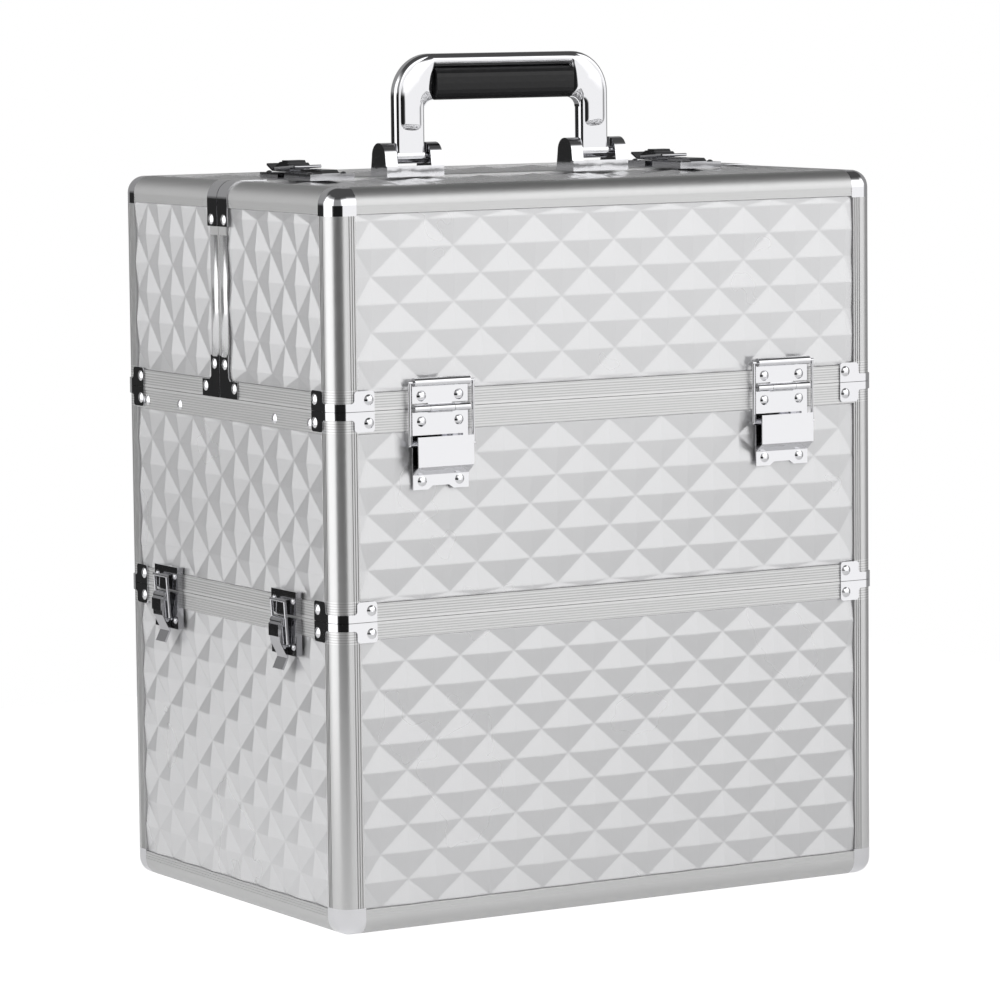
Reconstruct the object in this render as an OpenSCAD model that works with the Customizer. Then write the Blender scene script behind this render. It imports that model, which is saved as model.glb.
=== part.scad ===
/* [Case] */
// Width of the case across the front
case_w = 370; // [340:1:420]
// Depth of the case, front to rear
case_d = 260; // [250:1:290]
// Height of the body, without top latches and handle
case_h = 425; // [422:1:440]
// Height of the lower seam, where the middle box lifts off
lower_seam = 179.5; // [170:0.5:190]
// Height of the upper seam, where the two lids open
upper_seam = 299; // [296:0.5:302]
// Distance of the lid split behind the middle of the case
split_y = 6; // [-8:1:8]
// Gap between the parts that meet at a seam or at the split
seam_gap = 0.3; // [0.2:0.1:0.5]

/* [Frame] */
// Width of the edge rails and corner posts
rail_w = 15; // [14:1:16]
// Radius of the rounded outer edges
edge_r = 10; // [8:1:10]
// Depth of the rails behind the outer face
rail_t = 7; // [6.5:0.5:8]
// Thickness of the flange that covers the panel edges
flange_t = 2.4; // [2:0.2:3]
// Height of the rim rails at the seams
rim_h = 10; // [10:0.5:11]
// Size of the corner caps
cap = 16; // [15:0.5:18]
// Distance by which straps and brackets stand proud
proud = 0.8; // [0.6:0.1:1]

/* [Panels] */
// Thickness of the boards
board_t = 3; // [2:0.5:4]
// Height of the embossed pyramids
emboss = 1.8; // [1:0.1:2.2]
// Half width of one embossed rhombus
half_u = 18; // [15:0.5:22]
// Half height of one embossed rhombus
half_v = 15.75; // [13:0.25:19]

/* [Latches] */
// Distance of the side latches from the middle of the side
side_latch_y = 73.5; // [60:0.5:80]
// Distance of the top latches from the middle of the case
top_latch_x = 128; // [115:1:135]
// Width of the latch plates
latch_w = 29.4; // [27:0.2:32]
// Width of the levers and hoods
lever_w = 11.6; // [10:0.2:12]
// Diameter of the wire of latches and stops
wire = 1.8; // [1.6:0.1:1.8]

/* [Handle] */
// Outer width of the handle
handle_w = 148; // [140:1:156]
// Height of the handle above its pins
handle_h = 60; // [56:1:66]
// Length of the black grip
grip_l = 95; // [80:1:98]

/* [Hinges] */
// Distance of the stop hinges from the middle of the case
hinge_x = 117; // [100:1:130]
// Width of the hinge leaves
leaf_w = 36.5; // [32:0.5:40]
// Distance of the hinge pin in front of the face
pin_out = 2.5; // [2.4:0.1:3]

/* [Trays] */
// Half width of the inner trays
tray_half = 167; // [160:1:167]
// Depth of each tray, front to rear
tray_d = 94; // [80:1:96]

/* [Hidden] */
$fn = 48;
hw = case_w / 2;
hd = case_d / 2;
gap = seam_gap / 2;
inner = hw - rail_w;

// Places: u runs along the face, v up (on the top: to the rear), w out of the face
module on_front() { translate([0, -hd, 0]) rotate([90, 0, 0]) children(); }
module on_right() { translate([hw, 0, 0]) rotate([90, 0, 90]) children(); }
module on_top() { translate([0, 0, case_h]) children(); }
module both_sides() { children(); mirror([1, 0, 0]) children(); }
module front_and_rear() { children(); mirror([0, 1, 0]) children(); }
module four_corners() { front_and_rear() both_sides() children(); }
module block(u0, u1, v0, v1, w0, w1) { translate([u0, v0, w0]) cube([u1 - u0, v1 - v0, w1 - w0]); }

// Embossed panel: a board whose visible window carries low rhombic pyramids
margin = 5;
step_w = 0.2;
function grid_lines(a, b, phase, half) = concat([a, a + margin, a + margin + step_w],
    [for (k = [ceil((a + margin + 1 - phase) / half) : floor((b - margin - 1 - phase) / half)])
        phase + k * half],
    [b - margin - step_w, b - margin, b]);
function offset_in(u, phase, half) = abs((u - phase) / half - 2 * round((u - phase) / half / 2));
function relief(s) = s <= 1 ? 1 - s : s - 1;
function cell(u, phase, half) = floor((u - phase) / half + 0.01);
// Its phase is the middle of one rhombus, half the half width and half height of a rhombus
module panel(u0, u1, v0, v1, phase, half = [half_u, half_v]) {
    us = grid_lines(u0, u1, phase[0], half[0]);
    vs = grid_lines(v0, v1, phase[1], half[1]);
    nu = len(us);
    nv = len(vs);
    top = [for (j = [0 : nv - 1]) for (i = [0 : nu - 1])
        [us[i], vs[j], min(i, j, nu - 1 - i, nv - 1 - j) < 2 ? 0
            : step_w + emboss * relief(offset_in(us[i], phase[0], half[0])
                + offset_in(vs[j], phase[1], half[1]))]];
    edge = concat([for (i = [0 : nu - 2]) i], [for (j = [0 : nv - 2]) j * nu + nu - 1],
        [for (i = [nu - 1 : -1 : 1]) (nv - 1) * nu + i], [for (j = [nv - 1 : -1 : 1]) j * nu]);
    ring = len(edge);
    count = len(top);
    back = [for (k = edge) [top[k][0], top[k][1], -board_t]];
    middle = [(u0 + u1) / 2, (v0 + v1) / 2, -board_t];
    skin = [for (j = [0 : nv - 2]) for (i = [0 : nu - 2])
        let (a = j * nu + i, b = a + 1, c = b + nu, d = a + nu)
        each (cell(us[i], phase[0], half[0]) + cell(vs[j], phase[1], half[1])) % 2 == 0
            ? [[a, d, b], [b, d, c]] : [[a, d, c], [a, c, b]]];
    rim = [for (k = [0 : ring - 1]) [edge[k], edge[(k + 1) % ring],
        count + (k + 1) % ring, count + k]];
    fan = [for (k = [0 : ring - 1]) [count + ring, count + k, count + (k + 1) % ring]];
    translate([0, 0, -flange_t])
        polyhedron(points = concat(top, back, [middle]), faces = concat(skin, rim, fan));
}

// Fine grooves of the extruded rails, side by side along x, cut into the face that lies on the x axis
groove_w = 0.7;
groove_d = 0.35;
groove_step = 1.5;
module grooves(first, count) {
    for (k = [0 : count - 1]) translate([first + k * groove_step, -1]) square([groove_w, 1 + groove_d]);
}
// Edge rail seen along its length: the outer corner lies at the origin, the faces run along +x and +y
module edge_profile() {
    difference() {
        intersection() {
            square(rail_w);
            union() {
                translate([edge_r, edge_r]) circle(edge_r);
                translate([edge_r, 0]) square(rail_w);
                translate([0, edge_r]) square(rail_w);
            }
        }
        translate([rail_t, rail_t]) square(rail_w);
        translate([rail_w - margin, flange_t]) square([rail_w, rail_t]);
        translate([flange_t, rail_w - margin]) square([rail_t, rail_w]);
        for (side = [0, 1]) mirror([side, -side]) grooves(edge_r + 0.6, 3);
    }
}
module post(z0, z1) {
    translate([-hw, -hd, z0]) linear_extrude(z1 - z0) edge_profile();
}
// Rail along the front edge; its corner line is at the height z, its face turns up or down from it
module front_rail(z, up, half = hw - cap) {
    translate([-half, -hd, z]) rotate([90, 0, 90]) mirror([0, up > 0 ? 0 : 1, 0])
        linear_extrude(2 * half) edge_profile();
}
module side_rail(z, up, y0, y1) {
    translate([-hw, y1, z]) rotate([90, 0, 0]) mirror([0, up > 0 ? 0 : 1, 0])
        linear_extrude(y1 - y0) edge_profile();
}
// Rim rail seen along its length: depth along x, height from the seam along y
rim_plain = 1.7;
module rim_profile(h) {
    difference() {
        square([rail_t, h]);
        translate([flange_t, margin]) square([rail_t, h]);
        mirror([1, -1]) grooves(rim_plain, floor((h - 2 * rim_plain) / groove_step) + 1);
    }
}
module front_rim(z, up, h) {
    translate([-inner, -hd, z]) rotate([90, 0, 90]) mirror([0, up > 0 ? 0 : 1, 0])
        linear_extrude(2 * inner) rim_profile(h);
}
module side_rim(z, up, h, y0, y1) {
    translate([-hw, y1, z]) rotate([90, 0, 0]) mirror([0, up > 0 ? 0 : 1, 0])
        linear_extrude(y1 - y0) rim_profile(h);
}
// Rounded cap over a corner of the body, with its point at the origin and seats for three panels
module corner_cap() {
    r = edge_r;
    seat = rail_w - margin;
    difference() {
        intersection() {
            cube(cap);
            union() {
                translate([r, r, r]) sphere(r);
                translate([r, r, r]) cylinder(h = cap, r = r);
                translate([r, r, r]) rotate([-90, 0, 0]) cylinder(h = cap, r = r);
                translate([r, r, r]) rotate([0, 90, 0]) cylinder(h = cap, r = r);
                translate([0, r, r]) cube(cap);
                translate([r, 0, r]) cube(cap);
                translate([r, r, 0]) cube(cap);
            }
        }
        translate([rail_t, rail_t, rail_t]) cube(cap);
        translate([flange_t, seat, seat]) cube(cap);
        translate([seat, flange_t, seat]) cube(cap);
        translate([seat, seat, flange_t]) cube(cap);
    }
}

// Lower box
lower_rim_top = lower_seam - gap;
lower_front_phase = [-121.8, 155.6];
lower_side_phase = [46.35, 156.5];
box_side_half = [17.75, half_v];
module lower_floor() {
    color("dimgray") block(-hw + rail_t, hw - rail_t, -hd + rail_t, hd - rail_t, rail_t, rail_t + board_t);
}
module lower_front_panel() {
    color("silver") on_front() panel(-inner - margin, inner + margin, rail_w - margin,
        lower_rim_top - rim_h + margin, lower_front_phase);
}
module lower_rear_panel() { mirror([0, 1, 0]) lower_front_panel(); }
module lower_side_panels() {
    side = hd - rail_w + margin;
    color("silver") both_sides() on_right() panel(-side, side, rail_w - margin,
        lower_rim_top - rim_h + margin, lower_side_phase, box_side_half);
}
module lower_frame() {
    color("lightgray") {
        front_and_rear() front_rail(0, 1);
        both_sides() side_rail(0, 1, -hd + cap, hd - cap);
        four_corners() post(cap, lower_rim_top);
    }
}
module lower_rim() {
    color("gainsboro") {
        front_and_rear() front_rim(lower_rim_top, -1, rim_h);
        both_sides() side_rim(lower_rim_top, -1, rim_h, -hd + rail_w, hd - rail_w);
    }
}
// Domed head of a rivet, standing on z = 0
rivet_r = 3.1;
small_rivet_r = 2;
rivet_h = 1.1;
module rivet_head(r = rivet_r) {
    dome_r = (r * r + rivet_h * rivet_h) / (2 * rivet_h);
    rotate_extrude() intersection() {
        translate([0, rivet_h - dome_r]) circle(dome_r);
        square([r, rivet_h]);
    }
}
// Strap round a corner with an ear on each face, held by rivets; it stands on the seam at z
ear_w = 13;
ear_x = 12.5;
ear_h = 11.5;
ear_round = 2;
strap_h = 4.5;
module ear_outline() {
    translate([edge_r, 0]) square([ear_x - edge_r + 1, strap_h]);
    translate([ear_x, 0]) square([ear_w, ear_h - ear_round]);
    translate([ear_x + ear_round, 0]) square([ear_w - 2 * ear_round, ear_h]);
    for (x = [ear_x + ear_round, ear_x + ear_w - ear_round])
        translate([x, ear_h - ear_round]) circle(ear_round);
    translate([ear_x - ear_round, strap_h]) difference() {
        square(ear_round + 0.1);
        translate([0, ear_round]) circle(ear_round);
    }
}
module corner_bracket(z, up) {
    t = proud;
    r = edge_r + t;
    translate([-hw, -hd, z]) mirror([0, 0, up > 0 ? 0 : 1]) {
        linear_extrude(strap_h) difference() {
            intersection() {
                translate([edge_r, edge_r]) circle(r);
                translate([-t, -t]) square(edge_r + t);
            }
            translate([edge_r, edge_r]) circle(edge_r);
        }
        for (side = [0, 1]) mirror([side, -side, 0]) {
            rotate([90, 0, 0]) linear_extrude(t) ear_outline();
            translate([ear_x + ear_w - rivet_r - 0.6, -t, ear_h * 0.56]) rotate([90, 0, 0]) rivet_head();
        }
    }
}
module lower_corner_fittings() {
    color("lightgray") four_corners() {
        translate([-hw, -hd, 0]) corner_cap();
        corner_bracket(lower_rim_top, -1);
    }
}

// Middle box
middle_base = lower_seam + gap;
middle_top = upper_seam - gap;
top_rim_h = 12.5;
floor_up = 1;
middle_front_phase = [-145.9, 271.6];
middle_side_phase = [82.05, 268.4];
module middle_floor() {
    color("dimgray") block(-hw + rail_t, hw - rail_t, -hd + rail_t, hd - rail_t,
        middle_base + floor_up, middle_base + floor_up + board_t);
}
module middle_front_panel() {
    color("silver") on_front() panel(-inner - margin, inner + margin, middle_base + rim_h - margin,
        middle_top - top_rim_h + margin, middle_front_phase);
}
module middle_rear_panel() { mirror([0, 1, 0]) middle_front_panel(); }
module middle_side_panels() {
    side = hd - rail_w + margin;
    color("silver") both_sides() on_right() panel(-side, side, middle_base + rim_h - margin,
        middle_top - top_rim_h + margin, middle_side_phase, box_side_half);
}
module middle_frame() {
    color("lightgray") {
        four_corners() post(middle_base, middle_top);
        front_and_rear() front_rim(middle_base, 1, rim_h);
        both_sides() side_rim(middle_base, 1, rim_h, -hd + rail_w, hd - rail_w);
    }
}
module middle_top_rim() {
    color("gainsboro") {
        front_and_rear() front_rim(middle_top, -1, top_rim_h);
        both_sides() side_rim(middle_top, -1, top_rim_h, -hd + rail_w, hd - rail_w);
    }
}
module middle_corner_brackets() {
    color("whitesmoke") four_corners() {
        corner_bracket(middle_base, 1);
        corner_bracket(middle_top, -1);
    }
}

// Lids: drawn as the front lid, with its split at y = cut; the rear lid is its mirror image
lid_base = upper_seam + gap;
strip_w = 9;
lid_top_phase = [0, -60];
lid_front_phase = [-141.3, 405.9];
front_lid_side_phase = [-22.25, 334];
rear_lid_side_phase = [-69.15, 321];
lid_side_half = [15.65, 17.5];
module lid_top_panel(cut) {
    color("silver") on_top() panel(-inner - margin, inner + margin, -hd + rail_w - margin,
        cut - strip_w + margin, lid_top_phase);
}
module lid_front_panel() {
    color("silver") on_front() panel(-inner - margin, inner + margin, lid_base + rim_h - margin,
        case_h - rail_w + margin, lid_front_phase);
}
module lid_side_panels(cut, phase) {
    color("silver") both_sides() on_right() panel(-hd + rail_w - margin, cut - strip_w + margin,
        lid_base + rim_h - margin, case_h - rail_w + margin, phase, lid_side_half);
}
module lid_frame(cut) {
    color("lightgray") {
        front_rail(case_h, -1);
        both_sides() side_rail(case_h, -1, -hd + cap, cut);
        both_sides() post(lid_base, case_h - cap);
        both_sides() on_right() strip(cut, lid_base + rim_h, case_h - rail_w);
        on_top() rotate([0, 0, 90]) mirror([0, 1, 0]) strip(cut, -inner, inner);
    }
}
// Flat strip along the split: a flange over the panel edge and a web beside the split
module strip(cut, v0, v1) {
    block(cut - strip_w, cut, v0, v1, -flange_t, 0);
    block(cut - strip_w + margin, cut, v0, v1, -rail_t, -flange_t);
}
module lid_rim(cut) {
    color("gainsboro") {
        front_rim(lid_base, 1, rim_h);
        both_sides() side_rim(lid_base, 1, rim_h, -hd + rail_w, cut);
    }
}
// Riveted L at the foot of the split strip and curved strap over the top edge beside the split
split_play = 0.2;
foot_l = 21.5;
foot_leg = 10.5;
foot_h = 24.5;
foot_rivets = [[6.3, 19.5], [17.6, 6]];
strap_w = 12;
strap_l = 26;
strap_rivet = 7.6;
module lid_corner_fittings(cut) {
    color("whitesmoke") both_sides() {
        translate([-hw, -hd, case_h]) mirror([0, 0, 1]) corner_cap();
        corner_bracket(lid_base, 1);
        on_right() {
            block(cut - foot_l, cut - split_play, lid_base, lid_base + rim_h, 0, proud);
            translate([cut, lid_base + rim_h, 0]) linear_extrude(proud)
                polygon([[-split_play, 0], [-split_play, foot_h - rim_h], [-foot_leg, foot_h - rim_h],
                    [-foot_leg, 2], [-foot_leg - 2, 0]]);
            for (at = foot_rivets) translate([cut - at[0], lid_base + at[1], proud]) rivet_head();
            translate([cut - strap_rivet, case_h - strap_l + 4, proud]) rivet_head();
        }
        split_strap(cut);
    }
}
module split_strap(cut) {
    r = edge_r + proud;
    translate([hw, cut - split_play, case_h]) rotate([90, 0, 0]) linear_extrude(strap_w - split_play) {
        difference() {
            intersection() {
                translate([-edge_r, -edge_r]) circle(r);
                translate([-edge_r, -edge_r]) square(r);
            }
            translate([-edge_r, -edge_r]) circle(edge_r);
        }
        translate([0, -strap_l]) square([proud, strap_l - edge_r]);
        translate([-strap_l, 0]) square([strap_l - edge_r, proud]);
    }
}

// Stop hinge, drawn at the middle of its width, v measured from the upper seam
leaf_t = 1.1;
pin_r = 1;
bore_r = 1.05;
knuckle_r = 2.3;
knuckle_half = 8;
relief_cut = 2.8;
roll_up = 15;
roll_out = 2.6;
roll_r = 2.5;
stop_l = 36;
stop_half = 20.85;
rivet_u = 12.3;
lid_rivet_v = 7;
middle_rivet_v = [-7.5, -41.5];
module along_u(u0, u1, v, w, r) { translate([u0, v, w]) rotate([0, 90, 0]) cylinder(h = u1 - u0, r = r); }
module rivet(u, v, w) { translate([u, v, w]) rivet_head(); }
module small_rivet(u, v, w) { translate([u, v, w]) rivet_head(small_rivet_r); }
module at_hinges() { for (x = [-hinge_x, hinge_x]) on_front() translate([x, upper_seam, 0]) children(); }
module lid_leaf() {
    half = leaf_w / 2;
    difference() {
        union() {
            block(-half, half, relief_cut, roll_up, 0, leaf_t);
            block(-knuckle_half, knuckle_half, 0.5, relief_cut, 0, leaf_t);
            along_u(-knuckle_half, knuckle_half, 0, pin_out, knuckle_r);
            along_u(-half, half, roll_up, roll_out, roll_r);
        }
        along_u(-half - 1, half + 1, 0, pin_out, bore_r);
        along_u(-half - 1, half + 1, roll_up, roll_out, wire / 2 + 0.1);
    }
    for (u = [-rivet_u, rivet_u]) rivet(u, lid_rivet_v, leaf_t);
}
pocket_out = 7.7;
leaf_foot = -46.4;
module knuckle_pair() {
    half = leaf_w / 2;
    for (side = [0, 1]) mirror([side, 0, 0]) {
        block(knuckle_half + 0.2, half, -relief_cut - 1, -0.5, 0, leaf_t);
        along_u(knuckle_half + 0.2, half, 0, pin_out, knuckle_r);
    }
}
// Lower leaf with a raised pocket, open above and at its sides, that holds the stop's lower bar
module middle_leaf() {
    half = leaf_w / 2;
    skin = 0.8;
    difference() {
        union() {
            across(half) polygon([[-relief_cut, 0], [leaf_foot, 0], [leaf_foot, leaf_t], [-38, leaf_t],
                [-33, pocket_out], [-16, pocket_out], [-16, pocket_out - skin],
                [-33.4, pocket_out - skin], [-36.8, leaf_t], [-relief_cut, leaf_t]]);
            knuckle_pair();
        }
        along_u(-half - 1, half + 1, 0, pin_out, bore_r);
        translate([0, leaf_foot - 1, -1]) linear_extrude(4)
            polygon([[-10, 0], [-8.5, 1], [-5.4, 3.1], [5.4, 3.1], [8.5, 1], [10, 0]]);
    }
    for (u = [-rivet_u, rivet_u], v = middle_rivet_v) rivet(u, v, leaf_t - 0.1);
}
module stop_wire() {
    r = wire / 2;
    for (v = [roll_up, roll_up - stop_l]) along_u(-stop_half - r, stop_half + r, v, roll_out, r);
    for (u = [-stop_half, stop_half]) translate([u, roll_up, roll_out]) rotate([90, 0, 0])
        cylinder(h = stop_l, r = r);
}
module hinge_plates() { color("whitesmoke") front_and_rear() at_hinges() middle_leaf(); }
module hinge_pins() {
    color("silver") front_and_rear() at_hinges() along_u(-leaf_w / 2, leaf_w / 2, 0, pin_out, pin_r);
}

// Toggle latch: u along the seam, v from the lever's side to the catch, w out of the face
plate_rise = 3.7;
plate_skin = 1;
hood_out = 6;
pivot = [-3.2, 6.5];
barrel_r = 2.7;
bail_pin = [-16.5, 5.6];
bar = [9, 7.3];
ear_t = 0.9;
bail_u = 8;
bail_end = 3.2;
top_shift = -4;
latch_rivet_u = 11.2;
base_v = [-22.5, -0.8];
base_rivet_v = -17.5;
catch_v = [1, 14.5];
catch_rivet_v = 9;
top_catch_v = [3.2, 35];
top_rivet_v = 28;
module pressed_plate(v0, v1) {
    half = latch_w / 2;
    difference() {
        block(-half, half, v0, v1, 0, plate_rise);
        block(-half + plate_skin, half - plate_skin, v0 + plate_skin, v1 - plate_skin,
            -1, plate_rise - plate_skin);
    }
}
module across(half) { rotate([90, 0, 90]) translate([0, 0, -half])
    linear_extrude(2 * half) children(); }
module side_catch() {
    pressed_plate(catch_v[0], catch_v[1]);
    across(lever_w / 2) polygon([[1, plate_rise - 0.5], [0.4, hood_out - 0.6], [1, hood_out], [8, hood_out],
        [9.4, hood_out - 1.4], [9.4, plate_rise - 0.5]]);
    for (u = [-latch_rivet_u, latch_rivet_u]) small_rivet(u, catch_rivet_v, plate_rise);
}
module top_catch() {
    pressed_plate(top_catch_v[0], top_catch_v[1]);
    across(lever_w / 2) polygon([[7, plate_rise - 0.5], [7, hood_out - 0.6], [7.6, hood_out],
        [30, hood_out], [33, hood_out - 2], [33, plate_rise - 0.5]]);
    for (u = [-latch_rivet_u, latch_rivet_u]) small_rivet(u, top_rivet_v, plate_rise);
}
module latch_base() {
    pressed_plate(base_v[0], base_v[1]);
    for (s = [-1, 1]) translate([s * (lever_w / 2 + 0.2 + ear_t / 2), 0, 0]) across(ear_t / 2) {
        translate(pivot) circle(barrel_r);
        translate([pivot[0] - 2.5, plate_rise - 0.5]) square([5, pivot[1] - plate_rise + 0.5]);
    }
    along_u(-lever_w / 2 - 0.5, lever_w / 2 + 0.5, pivot[0], pivot[1], pin_r);
    for (u = [-latch_rivet_u, latch_rivet_u]) small_rivet(u, base_rivet_v, plate_rise);
}
module lever() {
    half = lever_w / 2;
    difference() {
        across(half) union() {
            translate(pivot) circle(barrel_r);
            polygon([[-3.2, 4], [-3.2, 9.1], [-4.6, 10.6], [-11.5, 10.6], [-11.6, 9.8], [-14.5, 9.6],
                [-22.4, 5.6], [-24, 5.2], [-30.5, 8.4], [-30.9, 7.3], [-24, 4], [-16, 4]]);
        }
        along_u(-half - 1, half + 1, pivot[0], pivot[1], bore_r);
        along_u(-half - 1, half + 1, bail_pin[0], bail_pin[1], wire / 2 + 0.1);
    }
}
module bail() {
    r = wire / 2;
    leg = bar - bail_pin;
    for (s = [-1, 1]) {
        along_u(min(s * bail_end, s * (bail_u + r)), max(s * bail_end, s * (bail_u + r)),
            bail_pin[0], bail_pin[1], r);
        translate([s * bail_u, bail_pin[0], bail_pin[1]]) rotate([-atan2(leg[0], leg[1]), 0, 0])
            cylinder(h = norm(leg), r = r);
    }
    along_u(-bail_u - r, bail_u + r, bar[0], bar[1], r);
}
module at_side(x, y) {
    translate([x * hw, y * side_latch_y, lower_seam]) rotate([90, 0, 90 * x]) children();
}
module at_top(x) {
    translate([x * top_latch_x, split_y, case_h]) rotate([0, 0, 180]) children();
}
module on_top_base() { translate([0, top_shift, 0]) children(); }
module side_latch_bases() { color("silver") for (x = [-1, 1], y = [-1, 1]) at_side(x, y) latch_base(); }
module side_latch_catches() { color("silver") for (x = [-1, 1], y = [-1, 1]) at_side(x, y) side_catch(); }
module top_latch_catches() { color("silver") for (x = [-1, 1]) at_top(x) top_catch(); }
module top_latch_bases() { color("silver") for (x = [-1, 1]) at_top(x) on_top_base() latch_base(); }
module lever_side_fl() { color("silver") at_side(-1, -1) lever(); }
module lever_side_fr() { color("silver") at_side(1, -1) lever(); }
module lever_side_rl() { color("silver") at_side(-1, 1) lever(); }
module lever_side_rr() { color("silver") at_side(1, 1) lever(); }
module lever_top_l() { color("silver") at_top(-1) on_top_base() lever(); }
module lever_top_r() { color("silver") at_top(1) on_top_base() lever(); }
module bail_side_fl() { color("gray") at_side(-1, -1) bail(); }
module bail_side_fr() { color("gray") at_side(1, -1) bail(); }
module bail_side_rl() { color("gray") at_side(-1, 1) bail(); }
module bail_side_rr() { color("gray") at_side(1, 1) bail(); }
module bail_top_l() { color("gray") at_top(-1) on_top_base() bail(); }
module bail_top_r() { color("gray") at_top(1) on_top_base() bail(); }

// Handle with its brackets, folding about pins along x
handle_y = -6;
handle_z = 12;
handle_pin_r = 2;
pin_play = 0.06;
leg_w = 20;
leg_d = 8.5;
leg_round = 2.6;
bend_r = 25;
top_t = 8;
inside_r = 6;
cheek_d = 5.6;
bracket_x0 = 45;
bracket_x1 = 84;
bracket_front = -16;
bracket_rear = 4;
bracket_base = 2.5;
bracket_wall = 6.4;
ear_l = 8;
ear_top_r = 8;
ear_foot = 9.8;
module handle_brackets() {
    color("whitesmoke") both_sides() on_top() {
        block(bracket_x0, bracket_x1, bracket_front, bracket_rear, 0, bracket_base);
        block(bracket_x0, bracket_x1, bracket_front, bracket_front + 2, 0, bracket_wall);
        for (x = [bracket_x0, bracket_x1 - ear_l]) translate([x, handle_y, 0])
            rotate([90, 0, 90]) linear_extrude(ear_l) {
                translate([0, handle_z]) circle(ear_top_r);
                polygon([[-ear_foot, 0], [ear_foot, 0], [ear_top_r, handle_z], [-ear_top_r, handle_z]]);
            }
        translate([bracket_x0 + ear_l / 2, handle_y, handle_z]) rotate([0, 90, 0])
            cylinder(h = bracket_x1 - bracket_x0 - ear_l, r = handle_pin_r);
    }
}
// Rounded bar section, w wide along x from the origin and leg_d deep
module bar_section(w) {
    half = leg_d / 2;
    translate([leg_round, -half]) square([w - 2 * leg_round, leg_d]);
    translate([0, -half + leg_round]) square([w, leg_d - 2 * leg_round]);
    for (x = [leg_round, w - leg_round], y = [-1, 1]) translate([x, y * (half - leg_round)])
        circle(leg_round);
}
// Fills the corner between leg and grip, with a rounded inside corner
module cheek() {
    x = handle_w / 2 - leg_w;
    z = handle_h - top_t - grip_h;
    translate([grip_l / 2, z]) square([x + 3 - grip_l / 2, grip_h + 2]);
    difference() {
        translate([x - inside_r, z - inside_r]) square([inside_r + 3, inside_r + 1]);
        translate([x - inside_r, z - inside_r]) circle(inside_r);
    }
}
module handle_frame() {
    half = handle_w / 2;
    color("whitesmoke") translate([0, handle_y, case_h + handle_z]) difference() {
        union() {
            both_sides() {
                translate([half - leg_w, 0, 0]) linear_extrude(handle_h - bend_r) bar_section(leg_w);
                translate([half - bend_r, 0, handle_h - bend_r]) rotate([90, 0, 0])
                    rotate_extrude(angle = 90) translate([bend_r - leg_w, 0]) bar_section(leg_w);
                translate([0, cheek_d / 2, 0]) rotate([90, 0, 0]) linear_extrude(cheek_d) cheek();
                translate([half - leg_w + 0.5, 0, 0]) rotate([0, 90, 0])
                    cylinder(h = leg_w - 1, r = leg_d / 2 + 0.3);
            }
            translate([-half + bend_r, 0, handle_h]) rotate([0, 90, 0])
                linear_extrude(2 * (half - bend_r)) bar_section(top_t);
        }
        translate([-handle_w, 0, 0]) rotate([0, 90, 0])
            cylinder(h = 2 * handle_w, r = handle_pin_r + pin_play);
    }
}
grip_h = 19.4;
grip_d = 15.2;
grip_square = 0.7;
grip_points = 24;
module handle_grip() {
    color([0.06, 0.06, 0.06])
        translate([-grip_l / 2, handle_y, case_h + handle_z + handle_h - top_t - grip_h / 2])
            rotate([90, 0, 90]) linear_extrude(grip_l) polygon([for (k = [0 : grip_points - 1])
                let (a = 360 * k / grip_points, c = cos(a), s = sin(a))
                [grip_d / 2 * sign(c) * pow(abs(c), grip_square),
                    grip_h / 2 * sign(s) * pow(abs(s), grip_square)]]);
}

// Lids
module front_lid_top_panel() { lid_top_panel(split_y - gap); }
module front_lid_front_panel() { lid_front_panel(); }
module front_lid_side_panels() { lid_side_panels(split_y - gap, front_lid_side_phase); }
module front_lid_frame() { lid_frame(split_y - gap); }
module front_lid_rim() { lid_rim(split_y - gap); }
module front_lid_corner_fittings() { lid_corner_fittings(split_y - gap); }
module front_lid_hinge_leaves() { color("whitesmoke") at_hinges() lid_leaf(); }
module rear_lid_top_panel() { mirror([0, 1, 0]) lid_top_panel(-split_y - gap); }
module rear_lid_rear_panel() { mirror([0, 1, 0]) lid_front_panel(); }
module rear_lid_side_panels() { mirror([0, 1, 0]) lid_side_panels(-split_y - gap, rear_lid_side_phase); }
module rear_lid_frame() { mirror([0, 1, 0]) lid_frame(-split_y - gap); }
module rear_lid_rim() { mirror([0, 1, 0]) lid_rim(-split_y - gap); }
module rear_lid_corner_fittings() { mirror([0, 1, 0]) lid_corner_fittings(-split_y - gap); }
module rear_lid_hinge_leaves() { color("whitesmoke") mirror([0, 1, 0]) at_hinges() lid_leaf(); }
module front_stops() { color("gray") at_hinges() stop_wire(); }
module rear_stops() { mirror([0, 1, 0]) front_stops(); }

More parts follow.
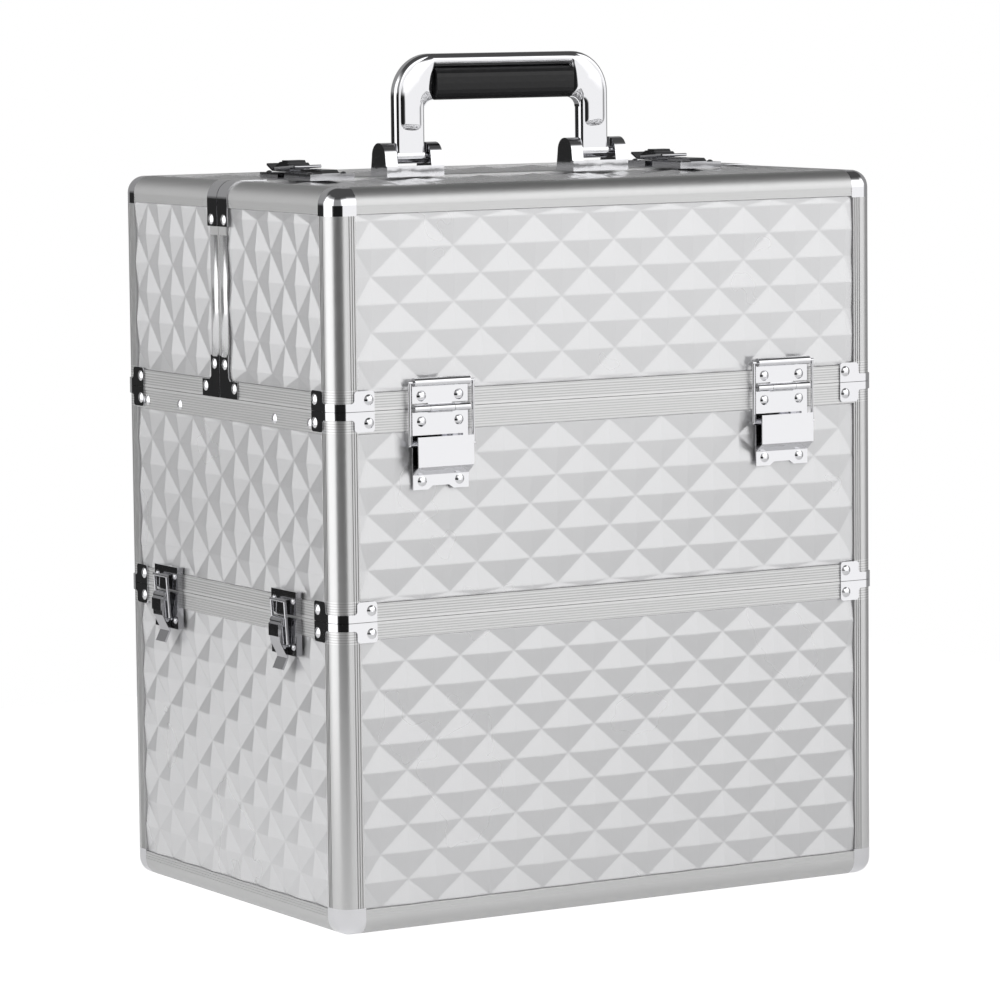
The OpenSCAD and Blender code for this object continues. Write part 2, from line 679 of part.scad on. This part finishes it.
// Cantilever trays: places are [inward from the hinge pin, up from the upper seam]
arm_foot_a = [30, -8];
arm_foot_b = [50, -8];
crank_a = [40, 40];
crank_b = [58, 68];
arm_x = 172.8;
arm_t = 2;
tray_wall = 1.5;
tray_pin_r = 2;
tray_front = 20;
low_tray = [16, 43];
high_tray = [55, 88];
compartments = 3;
arm_end_r = 4.2;
arm_half = 3.4;
pivot_plate = [2, 56, 12.5];
pivot_plate_at = [24, -14];
rim_rivets = [[31.5, -7.7], [73.5, -7.7]];
function place(p) = [0, -hd - pin_out + p[0], upper_seam + p[1]];
module cross_pin(p, x0, x1, r) {
    translate(place(p) + [x0, 0, 0]) rotate([0, 90, 0]) cylinder(h = x1 - x0, r = r);
}
module tray(height, pin) {
    pitch = (2 * tray_half - tray_wall) / compartments;
    color("dimgray") difference() {
        translate(place([tray_front, height[0]]) - [tray_half, 0, 0])
            cube([2 * tray_half, tray_d, height[1] - height[0]]);
        for (k = [0 : compartments - 1])
            translate(place([tray_front + tray_wall, height[0] + tray_wall])
                + [-tray_half + tray_wall + k * pitch, 0, 0])
                cube([pitch - tray_wall, tray_d - 2 * tray_wall, height[1]]);
        cross_pin(pin, -hw, hw, tray_pin_r + pin_play);
    }
}
module arm(foot, crank) {
    color("silver") both_sides() {
        translate(place(foot) + [arm_x, 0, 0]) rotate([90, 0, 90]) linear_extrude(arm_t) difference() {
            union() {
                circle(arm_end_r);
                translate(crank) circle(arm_end_r);
                rotate(atan2(crank[1], crank[0])) translate([0, -arm_half])
                    square([norm(crank), 2 * arm_half]);
            }
            circle(tray_pin_r + pin_play);
        }
        cross_pin(foot + crank, tray_half - tray_wall - 1, arm_x + 0.5, tray_pin_r);
    }
}
module tray_pivot_plates() {
    color("silver") four_corners() {
        for (foot = [arm_foot_a, arm_foot_b]) cross_pin(foot, arm_x - 0.4, hw - rail_t - 1, tray_pin_r);
        translate(place(pivot_plate_at) + [hw - rail_t - pivot_plate[0], 0, 0]) cube(pivot_plate);
        for (at = rim_rivets) translate(place(at) + [hw, 0, 0]) rotate([0, 90, 0]) rivet_head();
    }
}
module front_tray_low() { tray(low_tray, arm_foot_a + crank_a); }
module front_tray_high() { tray(high_tray, arm_foot_b + crank_b); }
module rear_tray_low() { mirror([0, 1, 0]) front_tray_low(); }
module rear_tray_high() { mirror([0, 1, 0]) front_tray_high(); }
module front_arm_a() { arm(arm_foot_a, crank_a); }
module front_arm_b() { arm(arm_foot_b, crank_b); }
module rear_arm_a() { mirror([0, 1, 0]) front_arm_a(); }
module rear_arm_b() { mirror([0, 1, 0]) front_arm_b(); }

lower_floor();
lower_front_panel();
lower_rear_panel();
lower_side_panels();
lower_frame();
lower_rim();
lower_corner_fittings();
side_latch_bases();
middle_floor();
middle_front_panel();
middle_rear_panel();
middle_side_panels();
middle_frame();
middle_top_rim();
middle_corner_brackets();
side_latch_catches();
hinge_plates();
hinge_pins();
tray_pivot_plates();
front_lid_top_panel();
front_lid_front_panel();
front_lid_side_panels();
front_lid_frame();
front_lid_rim();
front_lid_corner_fittings();
front_lid_hinge_leaves();
handle_brackets();
top_latch_catches();
rear_lid_top_panel();
rear_lid_rear_panel();
rear_lid_side_panels();
rear_lid_frame();
rear_lid_rim();
rear_lid_corner_fittings();
rear_lid_hinge_leaves();
top_latch_bases();
lever_side_fl();
lever_side_fr();
lever_side_rl();
lever_side_rr();
lever_top_l();
lever_top_r();
bail_side_fl();
bail_side_fr();
bail_side_rl();
bail_side_rr();
bail_top_l();
bail_top_r();
handle_frame();
handle_grip();
front_stops();
rear_stops();
front_tray_low();
front_tray_high();
rear_tray_low();
rear_tray_high();
front_arm_a();
front_arm_b();
rear_arm_a();
rear_arm_b();
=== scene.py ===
import bmesh
import bpy
from math import cos, radians, sin
from mathutils import Matrix, Vector


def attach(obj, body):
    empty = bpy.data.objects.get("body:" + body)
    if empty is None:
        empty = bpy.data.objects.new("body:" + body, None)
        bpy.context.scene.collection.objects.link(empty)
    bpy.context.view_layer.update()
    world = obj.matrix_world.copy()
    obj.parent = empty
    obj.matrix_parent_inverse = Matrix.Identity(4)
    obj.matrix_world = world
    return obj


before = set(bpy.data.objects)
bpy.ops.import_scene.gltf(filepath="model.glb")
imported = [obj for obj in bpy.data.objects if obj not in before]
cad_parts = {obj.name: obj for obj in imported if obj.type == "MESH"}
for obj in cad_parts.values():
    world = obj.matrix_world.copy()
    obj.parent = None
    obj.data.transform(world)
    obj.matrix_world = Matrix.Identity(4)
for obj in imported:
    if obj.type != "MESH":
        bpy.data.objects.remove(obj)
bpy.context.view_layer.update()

# Camera: the photograph's viewing angle, found by fitting the case's corners and seams.
# It stands low in front of the left corner and looks in with a long lens.
scene = bpy.context.scene
scene.view_settings.view_transform = "Standard"
focal_pixels, image_pixels, sensor_mm = 4919.5, 1000, 36
camera_data = bpy.data.cameras.new("camera")
camera_data.sensor_width = sensor_mm
camera_data.lens = focal_pixels / image_pixels * sensor_mm
camera_data.clip_start, camera_data.clip_end = 0.05, 60
camera = bpy.data.objects.new("camera", camera_data)
scene.collection.objects.link(camera)
camera_place = (-1.5185, -2.5342, 0.5354)
yaw, pitch, roll = radians(30.939), radians(5.946), radians(0.621)
turn = (Matrix.Rotation(-yaw, 4, "Z") @ Matrix.Rotation(radians(90) - pitch, 4, "X")
        @ Matrix.Rotation(-roll, 4, "Z"))
camera.matrix_world = Matrix.Translation(camera_place) @ turn
scene.camera = camera


# Table: a small white sheet under the case. The camera and the plated parts see it glow white,
# and every other ray meets a pale matt surface that takes the case's shadow.
class Value:
    """A shader socket for Python expressions; each operator adds its Math node to the tree."""

    def __init__(self, tree, socket=None):
        self.tree = tree
        self.socket = socket

    def node(self, kind, inputs=(), output=0, **settings):
        """Adds a node, sets its settings, then its sockets' values or links; gives one output."""
        made = self.tree.nodes.new(kind)
        for key, value in settings.items():
            setattr(made, key, value)
        for key, value in dict(inputs).items():
            if isinstance(value, Value):
                self.tree.links.new(value.socket, made.inputs[key])
            else:
                made.inputs[key].default_value = value
        return Value(self.tree, made.outputs[output])

    def math(self, operation, *others):
        return self.node("ShaderNodeMath", dict(enumerate((self,) + others)), operation=operation)

    def parts(self):
        """The x, y and z of a vector."""
        split = self.node("ShaderNodeSeparateXYZ", {0: self})
        return [Value(self.tree, socket) for socket in split.socket.node.outputs]

    def __add__(self, other): return self.math("ADD", other)
    def __radd__(self, other): return self.math("ADD", other)
    def __sub__(self, other): return self.math("SUBTRACT", other)
    def __rsub__(self, other): return self.math("MULTIPLY_ADD", -1, other)
    def __mul__(self, other): return self.math("MULTIPLY", other)
    def __rmul__(self, other): return self.math("MULTIPLY", other)
    def __gt__(self, other): return self.math("GREATER_THAN", other)
    def __lt__(self, other): return self.math("LESS_THAN", other)


def finish_material(name, colour, metallic, **fixed):
    """A new material, its place on the piece as a value, and its shader node."""
    material = bpy.data.materials.new(name)
    material.use_nodes = True
    tree = material.node_tree
    shader = tree.nodes["Principled BSDF"]
    shader.inputs["Base Color"].default_value = (*colour, 1)
    shader.inputs["Metallic"].default_value = metallic
    for key, value in fixed.items():
        shader.inputs[key.replace("_", " ")].default_value = value
    return material, Value(tree).node("ShaderNodeTexCoord", output="Object"), shader


def ray_kinds(tree):
    """1 for a ray straight from the camera, and 1 for a ray mirrored or let through on its way."""
    outputs = Value(tree).node("ShaderNodeLightPath").socket.node.outputs
    mirrored = Value(tree, outputs["Is Glossy Ray"]) + Value(tree, outputs["Is Transmission Ray"])
    return Value(tree, outputs["Is Camera Ray"]), mirrored.math("MINIMUM", 1)


def make_object(name, bm, material):
    """An object at the origin with the bmesh as its mesh and one material."""
    mesh = bpy.data.meshes.new(name)
    bm.to_mesh(mesh)
    bm.free()
    mesh.materials.append(material)
    made = bpy.data.objects.new(name, mesh)
    scene.collection.objects.link(made)
    return made


table_half, table_grey, table_glow, mirrored_share = 0.8, 0.7, 0.82, 0.45
table_material, place, shader = finish_material("studio_floor", (table_grey,) * 3, 0, Roughness=0.9)
matt = Value(shader.id_data, shader.outputs[0])
seen, mirrored = ray_kinds(matt.tree)
glow = matt.node("ShaderNodeEmission", {"Strength": table_glow})
glowing = matt.node("ShaderNodeAddShader", {0: matt, 1: glow})
picked = matt.node("ShaderNodeMixShader", {0: seen + mirrored_share * mirrored, 1: matt, 2: glowing})
matt.tree.links.new(picked.socket, matt.tree.nodes["Material Output"].inputs["Surface"])
bm = bmesh.new()
bmesh.ops.create_grid(bm, x_segments=1, y_segments=1, size=table_half)
floor = make_object("studio_floor", bm, table_material)

# Studio walls: white to the camera, and for the case grey with bright screens to the right and left.
# Dark cards beside the camera, behind the case's left side and overhead give the chrome and the
# satin posts their contrast. Matt surfaces get a little less of it than mirrored rays.
world = bpy.data.worlds.new("studio")
scene.world = world
world.use_nodes = True
sky_x, sky_y, sky_z = Value(world.node_tree).node("ShaderNodeTexCoord", output="Generated").parts()
azimuth = sky_y.math("ARCTAN2", sky_x)
from_left = (0 - sky_y).math("ARCTAN2", 0 - sky_x)
elevation = sky_z.math("ARCSINE")


def band(angle, centre, half, soft):
    """1 where the angle in degrees is within half of the centre, fading to 0 over the soft margin."""
    gap = (angle - radians(centre)).math("ABSOLUTE")
    return ((radians(half + soft) - gap) * (1 / radians(soft))).math("MAXIMUM", 0).math("MINIMUM", 1)


screen_right = band(azimuth, -58, 34, 10) * band(elevation, 2, 30, 14)
lifted_right = band(azimuth, -58, 38, 10) * band(elevation, 26, 12, 12)
screen_left = band(from_left, -10, 36, 5) * band(elevation, 8, 34, 12)
beside_camera = band(azimuth, -126, 32, 5) * band(elevation, -8, 10, 5)
behind_left = band(azimuth, 120, 9, 4) * band(elevation, -8, 9, 5)
overhead = band(elevation, 90, 48, 10)
beside_dark, behind_dark, overhead_dark = 0.96, 0.92, 0.75
card = (beside_dark * beside_camera).math("MAXIMUM", behind_dark * behind_left)
card = card.math("MAXIMUM", overhead_dark * overhead)
room, right_glow, lifted_glow, left_glow = 0.32, 0.76, 0.65, 1.25
screens = room + right_glow * screen_right + lifted_glow * lifted_right + left_glow * screen_left
matt_share = 0.85
seen, mirrored = ray_kinds(world.node_tree)
strength = seen + (1 - seen) * (screens * (1 - card) * (matt_share + (1 - matt_share) * mirrored))
background = world.node_tree.nodes["Background"]
background.inputs["Color"].default_value = (1, 1, 1, 1)
world.node_tree.links.new(strength.socket, background.inputs["Strength"])


# Lamps: one broad softbox in front on the right and one on the left. The plated parts don't
# mirror them, because the studio's screens are there for that.
def softbox(name, place, target, width, height, watts):
    data = bpy.data.lights.new(name, "AREA")
    data.shape = "RECTANGLE"
    data.size, data.size_y, data.energy = width, height, watts
    lamp = bpy.data.objects.new(name, data)
    lamp.location = place
    lamp.rotation_euler = (Vector(target) - Vector(place)).to_track_quat("-Z", "Y").to_euler()
    lamp.visible_glossy = False
    scene.collection.objects.link(lamp)


softbox("key_right_front", (1.35, -2.25, 1.3), (0, 0, 0.3), width=2.6, height=1.7, watts=14)
softbox("side_left", (-2.4, 0.55, 0.75), (0, -0.1, 0.1), width=1.3, height=0.9, watts=24)


# Embossed panels: thin boards under a silver laminate pressed into low pyramids. The pressed
# edges are soft, so the shading is rounded over about a millimetre, and the foil has a fine grain.
def noise(place, scale, detail):
    return place.node("ShaderNodeTexNoise", {"Vector": place, "Scale": scale, "Detail": detail})


def drive(shader, name, value):
    shader.id_data.links.new(value.socket, shader.inputs[name])


def bump(shader, height, strength, distance, **more):
    """Raises the surface by the height value, at most by the distance."""
    sockets = {"Height": height, "Strength": strength, "Distance": distance, **more}
    drive(shader, "Normal", height.node("ShaderNodeBump", sockets))


def dress(names, material):
    """Gives the solids of these names the material on every slot."""
    for name in names:
        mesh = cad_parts[name].data
        mesh.materials.clear()
        mesh.materials.append(material)


pressed_r = 0.0014
laminate, place, shader = finish_material("embossed_laminate", (0.74, 0.74, 0.75), 0.55)
pressed_edge = place.node("ShaderNodeBevel", {"Radius": pressed_r}, samples=4)
bump(shader, noise(place, 900, 2), 0.12, 0.0003, Normal=pressed_edge)
drive(shader, "Roughness", noise(place, 14, 3) * 0.1 + 0.21)
dress([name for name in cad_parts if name.endswith(("_panel", "_panels"))], laminate)

# Rails, posts and rims: drawn aluminium, satin anodised, riveted over the panels' edges. The solids
# carry the grooves; the material paints shade into them, adds faint drawing marks, and leaves the
# rounded corners smoother than the flats.
case_half_w, case_half_d, case_h, edge_r = 0.185, 0.130, 0.425, 0.0095
lower_seam, upper_seam, rim_h = 0.1795, 0.299, 0.0125
groove_step, groove_share = 0.0015, 0.47
rim_groove, post_groove, post_groove_end = 0.0017, 0.0106, 0.0145
# The last of these is painted shade: how much darker the colour is made inside the grooves.
rail_grey, rim_lighter, groove_painted_shade = 0.66, 0.1, 0.17
flat_roughness, corner_smoother = 0.42, 0.16
aluminium, place, shader = finish_material("satin_aluminium", (rail_grey,) * 3, 0.9)
x, y, z = place.parts()
near_side, near_front = x.math("ABSOLUTE"), y.math("ABSOLUTE")
rounded = (near_side > case_half_w - edge_r) + (near_front > case_half_d - edge_r) > 1.5
from_seam = (z - lower_seam).math("ABSOLUTE").math("MINIMUM", (z - upper_seam).math("ABSOLUTE"))
from_corner = (case_half_w - near_side).math("MAXIMUM", case_half_d - near_front)
on_rim = from_seam < rim_h


def grooves(distance, first):
    """1 in the grooves that repeat from the first one on, and in between 0."""
    return ((distance - first) * (1 / groove_step)).math("FRACT") < groove_share


# Masks of the rim grooves and the posts' flange grooves, where painted shade darkens the colour.
rim_groove_shade = on_rim * grooves(from_seam, rim_groove) * (from_seam > rim_groove)
post_groove_shade = (1 - on_rim) * grooves(from_corner, post_groove)
post_groove_shade = post_groove_shade * (from_corner > post_groove) * (from_corner < post_groove_end)
drawn = noise(place, 240, 2)
bump(shader, drawn, 0.15, 0.0002)
# Base colour: the rims a tone lighter, and painted shade darkening the grooves.
drive(shader, "Base Color", rail_grey + rim_lighter * on_rim - groove_painted_shade * (rim_groove_shade + post_groove_shade))
drive(shader, "Roughness", drawn * 0.08 + flat_roughness - corner_smoother * rounded)
dress([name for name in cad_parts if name.endswith(("_frame", "_rim"))
       and name.startswith(("lower", "middle", "front_lid", "rear_lid"))], aluminium)

# Floors and trays: thin boards covered in dark short-pile lining. The floors lie on the bottom
# rails, and the trays are glued boxes with two dividers each.
lining, place, shader = finish_material("dark_lining", (0.045, 0.045, 0.05), 0)
pile = noise(place, 700, 4)
bump(shader, pile, 0.5, 0.0006)
drive(shader, "Roughness", pile * 0.15 + 0.78)
dress([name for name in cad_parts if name.endswith("_floor") or "_tray_" in name], lining)

# Wall linings: thin sheets of the same lining cover the backs of the panels, so that the opened
# case is dark inside. Each sheet is pressed a little into the panel behind it.
sheet, pressed, sheet_edge = 0.0007, 0.0001, 0.0003
inside_x, inside_y, inside_top = 0.1796, 0.1246, 0.4196
panel_x, panel_y = 0.1745, 0.1195
front_split, rear_split = 0.0015, 0.0105
box_bands = {"lower_box": (0.0101, 0.169), "middle_box": (0.1838, 0.2862)}
lid_band = (0.3095, 0.4146)


def sheets(name, body, boxes):
    """One mesh of flat boxes between low and high corners, their edges stepped back, on the body."""
    bm = bmesh.new()
    for low, high in boxes:
        low, high = Vector(low), Vector(high)
        middle = Matrix.Translation((low + high) / 2)
        made = bmesh.ops.create_cube(bm, size=1, matrix=middle)
        bmesh.ops.scale(bm, vec=high - low, verts=made["verts"], space=middle.inverted())
    bmesh.ops.bevel(bm, geom=bm.edges[:], offset=sheet_edge, segments=2, profile=0, material=-1,
                    affect="EDGES")
    piece = make_object(name, bm, lining)
    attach(piece, body)


def walls(low_y, high_y, low_z, high_z, ends):
    """Sheets on both side walls and on the front (-1) or rear (1) walls in ends."""
    boxes = []
    for side in (-1, 1):
        near, far = sorted((side * (inside_x - sheet), side * (inside_x + pressed)))
        boxes.append(((near, low_y, low_z), (far, high_y, high_z)))
    for end in ends:
        near, far = sorted((end * (inside_y - sheet), end * (inside_y + pressed)))
        boxes.append(((-panel_x, near, low_z), (panel_x, far, high_z)))
    return boxes


for body, (low_z, high_z) in box_bands.items():
    sheets(body + "_lining", body, walls(-panel_y, panel_y, low_z, high_z, (-1, 1)))
lid_linings = (("front_lid", -panel_y, front_split, -1), ("rear_lid", rear_split, panel_y, 1))
for body, low_y, high_y, end in lid_linings:
    roof = ((-panel_x, low_y, inside_top - sheet), (panel_x, high_y, inside_top + pressed))
    sheets(body + "_lining", body, walls(low_y, high_y, *lid_band, (end,)) + [roof])

# Link arms: flat zinc-plated steel strips on both sides of the trays, riveted to the tray's end
# and to the pivot plate, free to turn.
zinc, place, shader = finish_material("zinc_steel", (0.62, 0.62, 0.63), 0.9)
spangle = place.node("ShaderNodeTexVoronoi", {"Vector": place, "Scale": 260})
drive(shader, "Roughness", spangle * 0.25 + 0.25)
dress([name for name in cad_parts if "_arm_" in name], zinc)

# Bright fittings: corner caps, brackets, stop hinges and pivot plates of pressed steel, riveted
# through rail and panel, and the handle's cast frame. All are chrome plated, and the plating has
# faint ripples and wipe marks.
chrome, place, shader = finish_material("chrome_steel", (0.80, 0.80, 0.82), 1)
smear = noise(place, 60, 3)
bump(shader, smear, 0.08, 0.0008)
drive(shader, "Roughness", smear * 0.08 + 0.02)
latch_starts = ("lever_", "bail_side", "bail_top", "side_latch", "top_latch")
latches = [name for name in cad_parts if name.startswith(latch_starts)]
plated_ends = ("fittings", "brackets", "_leaves", "_stops", "hinge_plates", "hinge_pins")
plated = [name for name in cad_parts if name.endswith(plated_ends) and name not in latches]
dress(plated + ["handle_frame", "tray_pivot_plates"], chrome)

# Toggle latches: base, catch, lever and wire bail of nickel-plated steel, a little darker than the
# chrome, with soft wipe marks from use.
nickel, place, shader = finish_material("nickel_steel", (0.56, 0.56, 0.58), 1)
drive(shader, "Roughness", noise(place, 110, 3) * 0.1 + 0.04)
dress(latches, nickel)


# Split trim: a rounded bright strip stands on each lid's upright rail beside the split, on both
# sides, between the split bracket above and the foot bracket below. It is rolled from aluminium.
def smooth_sides(bm):
    """Turns all faces outwards and shades the four-sided ones smooth; the flat ends stay sharp."""
    bmesh.ops.recalc_face_normals(bm, faces=bm.faces)
    for face in bm.faces:
        face.smooth = len(face.verts) == 4


trim_material, place, shader = finish_material("bright_trim", (0.86, 0.86, 0.87), 0.8)
drive(shader, "Roughness", noise(place, 90, 2) * 0.1 + 0.13)
split_y, half_gap = 0.006, 0.0008
trim_w, trim_rise, trim_sunk, trim_low, trim_high = 0.0098, 0.0014, 0.0002, 0.323, 0.394
trim_steps, trim_flatness = 12, 3
for body, way in (("front_lid", -1), ("rear_lid", 1)):
    bm = bmesh.new()
    for side in (-1, 1):
        profile = []
        for k in range(trim_steps + 1):
            t = k / trim_steps
            out = case_half_w - trim_sunk + trim_rise * (1 - abs(2 * t - 1) ** trim_flatness)
            profile.append(bm.verts.new((side * out, split_y + way * (half_gap + t * trim_w), trim_low)))
        grown = bmesh.ops.extrude_face_region(bm, geom=[bm.faces.new(profile)])
        top = [item for item in grown["geom"] if isinstance(item, bmesh.types.BMVert)]
        bmesh.ops.translate(bm, verts=top, vec=(0, 0, trim_high - trim_low))
    smooth_sides(bm)
    piece = make_object(body + "_split_trim", bm, trim_material)
    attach(piece, body)

# Handle: both broad faces of the cast frame are domed. The dome is swept along legs, bends and top
# bar between their outer and inner outlines, and widens at the cheeks that hold the grip.
handle_y, pin_z = -0.006, case_h + 0.012
half_handle, handle_h, leg_w, leg_depth = 0.074, 0.060, 0.020, 0.0085
bend_r, inside_r, top_t, half_grip, grip_h = 0.025, 0.006, 0.008, 0.0475, 0.0194
cheek_z, foot, foot_run = handle_h - top_t - grip_h, 0.013, 0.008
dome_inset, dome_sunk, fullest, rise_share, dome_flatness = 0.0003, 0.0016, 0.0031, 0.32, 2.2
across_count = 18


def arc(x, z, radius, start, end, count):
    turns = (radians(start + (end - start) * k / count) for k in range(count + 1))
    return [Vector((x + radius * cos(a), z + radius * sin(a))) for a in turns]


def line(start, end, count):
    return [Vector(start).lerp(Vector(end), k / count) for k in range(count + 1)]


def join(*runs):
    """The runs one after another, each without its last point, and then the very last point."""
    return [point for run in runs for point in run[:-1]] + [runs[-1][-1]]


def dome_section(out, inn):
    """The ring of points around the dome, from an outer outline point to the inner one and back."""
    step = (inn - out).normalized() * dome_inset
    near_foot = min(1, (out.y - foot) / foot_run)
    rise = min(fullest, rise_share * (out - inn).length) * near_foot * (2 - near_foot)
    ring = []
    for side in (-1, 1):
        for k in range(across_count + 1):
            t = k / across_count if side < 0 else 1 - k / across_count
            flat = (out + step).lerp(inn - step, t)
            depth = leg_depth / 2 - dome_sunk + rise * (1 - abs(2 * t - 1) ** dome_flatness)
            ring.append((flat.x, handle_y + side * depth, pin_z + flat.y))
    return ring


bend_x, bend_z = half_handle - bend_r, handle_h - bend_r
leg_x, round_x, round_z = half_handle - leg_w, half_handle - leg_w - inside_r, cheek_z - inside_r
outer = join(line((half_handle, foot), (half_handle, bend_z), 14),
             arc(bend_x, bend_z, bend_r, 0, 45, 12),
             arc(bend_x, bend_z, bend_r, 45, 90, 12),
             line((bend_x, handle_h), (0, handle_h), 10))
inner = join(line((leg_x, foot), (leg_x, round_z), 14),
             arc(round_x, round_z, inside_r, 0, 90, 12),
             line((half_grip, cheek_z), (half_grip, handle_h - top_t), 12),
             line((half_grip, handle_h - top_t), (0, handle_h - top_t), 10))
other_side = Vector((-1, 1))
outer += [point * other_side for point in reversed(outer[:-1])]
inner += [point * other_side for point in reversed(inner[:-1])]
rings = [dome_section(out, inn) for out, inn in zip(outer, inner)]
bm = bmesh.new()
end = bm.faces.new([bm.verts.new(point) for point in rings[0]])
for ring in rings[1:]:
    grown = bmesh.ops.extrude_face_region(bm, geom=[end, *end.edges])
    end = next(item for item in grown["geom"] if isinstance(item, bmesh.types.BMFace))
    for vert, point in zip(end.verts, ring):
        vert.co = point
smooth_sides(bm)
piece = make_object("handle_domes", bm, chrome)
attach(piece, "handle")

# Grip: a shell of moulded black plastic clipped around the handle's top bar, with a fine matt
# grain and a slight sheen.
black, place, shader = finish_material("black_grip", (0.006, 0.006, 0.007), 0, Specular_IOR_Level=0.35)
grain = noise(place, 420, 3)
bump(shader, grain, 0.35, 0.0003)
drive(shader, "Roughness", grain * 0.2 + 0.26)
dress(["handle_grip"], black)
